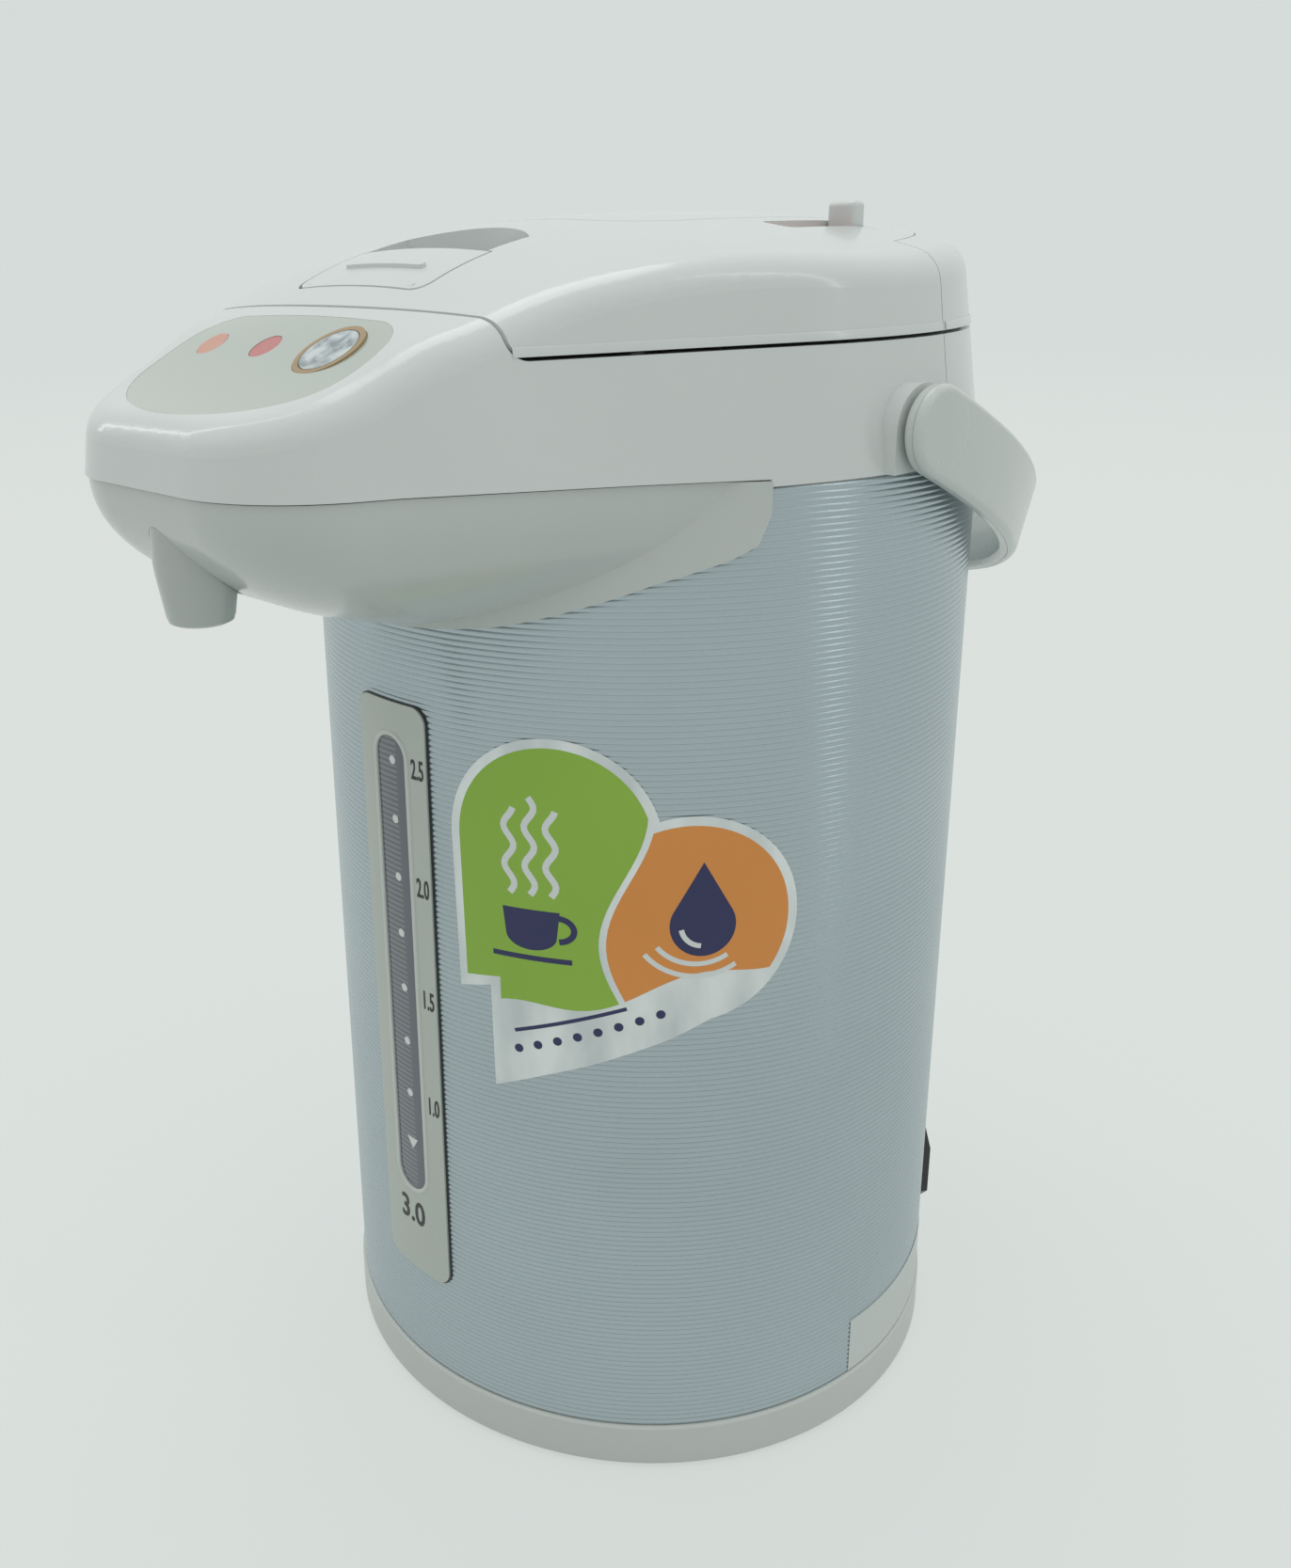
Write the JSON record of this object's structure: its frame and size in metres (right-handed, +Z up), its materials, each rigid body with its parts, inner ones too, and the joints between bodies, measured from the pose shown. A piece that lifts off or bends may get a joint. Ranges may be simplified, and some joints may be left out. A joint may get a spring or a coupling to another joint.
{
  "type": "electric air pot",
  "caption": "Round hand-pumped electric water pot with a ribbed body on a turning foot, a hinged domed lid with a push plate, a spout nose with a control panel, a level gauge and a handle.",
  "frame": {"origin": "centre of the turning foot's flat underside, on the body's axis at floor level", "axes": "+Z up along the body's axis, -Y towards the spout, +X towards the side with the reboil button and the lock slide"},
  "size_m": [0.1956, 0.2724, 0.3318],
  "materials": {
    "white_plastic": "glossy warm white moulding",
    "chin_plastic": "glossy light grey moulding",
    "handle_plastic": "glossy light grey moulding",
    "sleeve_metal": "satin blue-grey, fine ribs round the body",
    "base_plastic": "satin grey",
    "foot_plastic": "matte dark grey",
    "rubber_grey": "matte",
    "silicone": "translucent white silicone",
    "panel_film": "silver-green film",
    "gauge_film": "silver-grey plate",
    "gauge_clear": "dark clear window",
    "clear_glass": "clear",
    "button_silver": "silver",
    "ring_gold": "tan gold",
    "lamp_red": "red lens",
    "lamp_orange": "orange lens",
    "strip_red": "red strip",
    "steel": "brushed stainless steel",
    "screw_steel": "plated steel",
    "aluminium": "die cast",
    "inner_plastic": "plain white moulding",
    "black_plastic": "black moulding",
    "board_green": "circuit board with parts",
    "wool": "white insulation felt",
    "brass": "plated contact pins",
    "label_print": "printed film",
    "label_white": "paper"
  },
  "bodies": {
    "turning_foot": {"swivel_base": "foot_plastic", "foot_ring": "rubber_grey", "swivel_retainer": "foot_plastic", "hub_screws": "screw_steel"},
    "pot": {"base_ring": "base_plastic", "bottom_plate": "foot_plastic", "bottom_screws": "screw_steel", "tank_bracket": "steel", "heater_plate": "aluminium", "thermostat": "black_plastic", "thermal_fuse": "wool", "power_board": "board_green", "inner_tank": "steel", "tank_neck": "steel", "insulation": "wool", "outer_sleeve": "sleeve_metal", "gauge_plate": "gauge_film", "gauge_window": "gauge_clear", "gauge_tube": "clear_glass", "lower_hose": "silicone", "anti_tip_valve": "inner_plastic", "outlet_pipe": "inner_plastic", "nozzle": "chin_plastic", "chin_cover": "chin_plastic", "shoulder_housing": "white_plastic", "rear_cover": "white_plastic", "panel_plate": "panel_film", "button_ring": "ring_gold", "boil_lamp": "lamp_red", "keep_warm_lamp": "lamp_orange", "control_board": "board_green", "collar_ring": "inner_plastic", "power_socket": "black_plastic", "socket_pins": "brass", "sticker": "label_print", "small_label": "label_white"},
    "lid": {"lid_cover": "white_plastic", "lid_rear_cover": "white_plastic", "lid_base": "inner_plastic", "hinge_pin": "screw_steel", "lid_screws": "screw_steel", "inner_lid": "steel", "lid_gasket": "silicone", "air_valve": "silicone", "bellows": "silicone", "bellows_spring": "steel", "lock_strip": "strip_red", "lever_pin": "screw_steel"},
    "push_plate": {"push_plate": "white_plastic", "bellows_cap": "inner_plastic"},
    "lock_slider": {"lock_slider": "white_plastic"},
    "release_lever": {"release_lever": "white_plastic"},
    "lid_latch": {"lid_latch": "inner_plastic"},
    "handle": {"handle_bail": "handle_plastic", "handle_cover": "handle_plastic", "handle_pins": "inner_plastic"},
    "reboil_button": {"reboil_button": "button_silver"},
    "anti_tip_ball": {"anti_tip_ball": "steel"}
  },
  "joints": [
    {"name": "base_swivel", "type": "hinge", "parent": "turning_foot", "child": "pot", "pos_m": [0, 0, 0.007], "axis": [0, 0, 1], "continuous": true},
    {"name": "handle_swing", "type": "hinge", "parent": "pot", "child": "handle", "pos_m": [0, -0.0015, 0.281], "axis": [1, 0, 0], "range_deg": [0, 180]},
    {"name": "lid_open", "type": "hinge", "parent": "pot", "child": "lid", "pos_m": [0, 0.0808, 0.307], "axis": [-1, 0, 0], "range_deg": [0, 70]},
    {"name": "push_plate_press", "type": "slide", "parent": "lid", "child": "push_plate", "axis": [0, 0, -1], "range_m": [0, 0.016], "stiffness_N_per_m": 250, "springref_m": -0.012, "deforming": ["bellows", "bellows_spring"]},
    {"name": "lock_slide", "type": "slide", "parent": "lid", "child": "lock_slider", "axis": [0, -1, 0], "range_m": [0, 0.024]},
    {"name": "release_lever_pull", "type": "hinge", "parent": "lid", "child": "release_lever", "pos_m": [0, -0.0915, 0.314], "axis": [1, 0, 0], "range_deg": [0, 25]},
    {"name": "latch_draw", "type": "slide", "parent": "lid", "child": "lid_latch", "axis": [0, 1, 0], "range_m": [0, 0.003], "stiffness_N_per_m": 50, "springref_m": -0.001},
    {"name": "reboil_press", "type": "slide", "parent": "pot", "child": "reboil_button", "axis": [0, 0.5, -0.866], "range_m": [0, 0.0009], "stiffness_N_per_m": 250, "springref_m": -0.001},
    {"name": "ball_rise", "type": "slide", "parent": "pot", "child": "anti_tip_ball", "axis": [0, 0, 1], "range_m": [0, 0.0095]}
  ],
  "couplings": [
    {"joint": "release_lever_pull", "follows": "latch_draw", "rad_per_m": 145.4}
  ]
}
